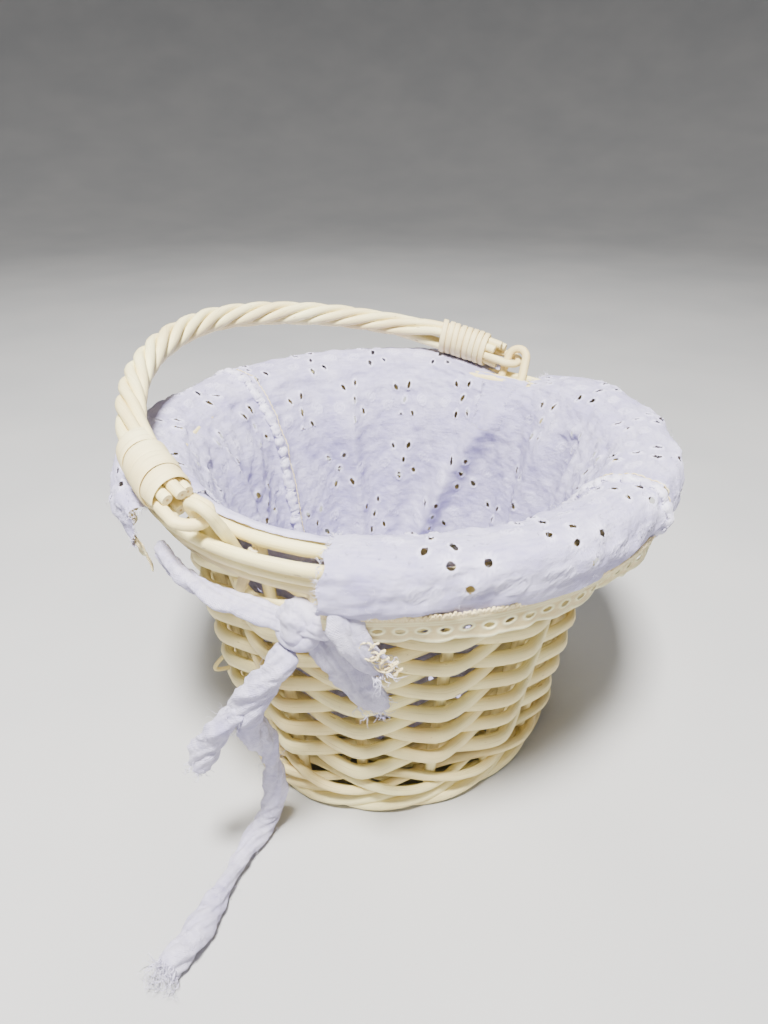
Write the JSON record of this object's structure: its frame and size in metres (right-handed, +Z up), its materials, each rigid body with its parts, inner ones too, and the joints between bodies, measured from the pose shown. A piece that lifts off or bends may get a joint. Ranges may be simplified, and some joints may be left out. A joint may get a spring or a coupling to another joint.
{
  "type": "flower girl basket",
  "caption": "Small oval woven basket in ivory painted willow with a twisted swinging bail handle, a pleated lilac eyelet liner, lace edged cuffs and fabric ties",
  "frame": {"origin": "centre of the box round the basket and handle, at the floor", "axes": "+X from the near pivot to the far pivot, +Y towards the side the handle lies down on, +Z up"},
  "size_m": [0.3103, 0.2287, 0.1759],
  "materials": {
    "painted_willow": "round willow rods with a thin satin ivory paint",
    "handle_willow": "round willow rods with a thin satin ivory paint",
    "split_willow": "flat split willow wrapping with a thin satin ivory paint",
    "lilac_cotton": "matt plain-weave cotton with eyelet embroidery",
    "ivory_lace": "matt cotton eyelet lace edging"
  },
  "bodies": {
    "basket": {"base_sticks": "painted_willow", "base_weave": "painted_willow", "cuff_back": "lilac_cotton", "cuff_front": "lilac_cotton", "foot_border": "painted_willow", "lace_back": "ivory_lace", "lace_front": "ivory_lace", "liner_bag": "lilac_cotton", "rim_loop_far": "painted_willow", "rim_loop_near": "painted_willow", "rim_rod_1": "painted_willow", "rim_rod_2": "painted_willow", "rim_rod_3": "painted_willow", "rim_rod_4": "painted_willow", "rim_rod_5": "painted_willow", "stake_01": "painted_willow", "stake_02": "painted_willow", "stake_03": "painted_willow", "stake_04": "painted_willow", "stake_05": "painted_willow", "stake_06": "painted_willow", "stake_07": "painted_willow", "stake_08": "painted_willow", "stake_09": "painted_willow", "stake_10": "painted_willow", "stake_11": "painted_willow", "stake_12": "painted_willow", "stake_13": "painted_willow", "stake_14": "painted_willow", "stake_15": "painted_willow", "stake_16": "painted_willow", "tie_far_band_back": "lilac_cotton", "tie_far_knot": "lilac_cotton", "tie_far_tail_long": "lilac_cotton", "tie_far_tail_short": "lilac_cotton", "tie_near_band_back": "lilac_cotton", "tie_near_band_front": "lilac_cotton", "tie_near_knot": "lilac_cotton", "tie_near_tail_long": "lilac_cotton", "tie_near_tail_short": "lilac_cotton", "tie_near_tail_wide": "lilac_cotton", "wale_rod_1": "painted_willow", "wale_rod_2": "painted_willow", "wale_rod_3": "painted_willow", "weaver_a_lower": "painted_willow", "weaver_a_middle": "painted_willow", "weaver_a_upper": "painted_willow", "weaver_b_lower": "painted_willow", "weaver_b_middle": "painted_willow", "weaver_b_upper": "painted_willow"},
    "handle": {"binding_far": "split_willow", "binding_near": "split_willow", "handle_loop_far": "handle_willow", "handle_loop_near": "handle_willow", "handle_rod_1": "handle_willow", "handle_rod_2": "handle_willow", "handle_rod_3": "handle_willow", "handle_rod_4": "handle_willow", "handle_rod_5": "handle_willow"}
  },
  "joints": [
    {"name": "handle_swing", "type": "hinge", "parent": "basket", "child": "handle", "pos_m": [0, 0, 0.1436], "axis": [1, 0, 0], "range_deg": [0, 152.8]}
  ]
}
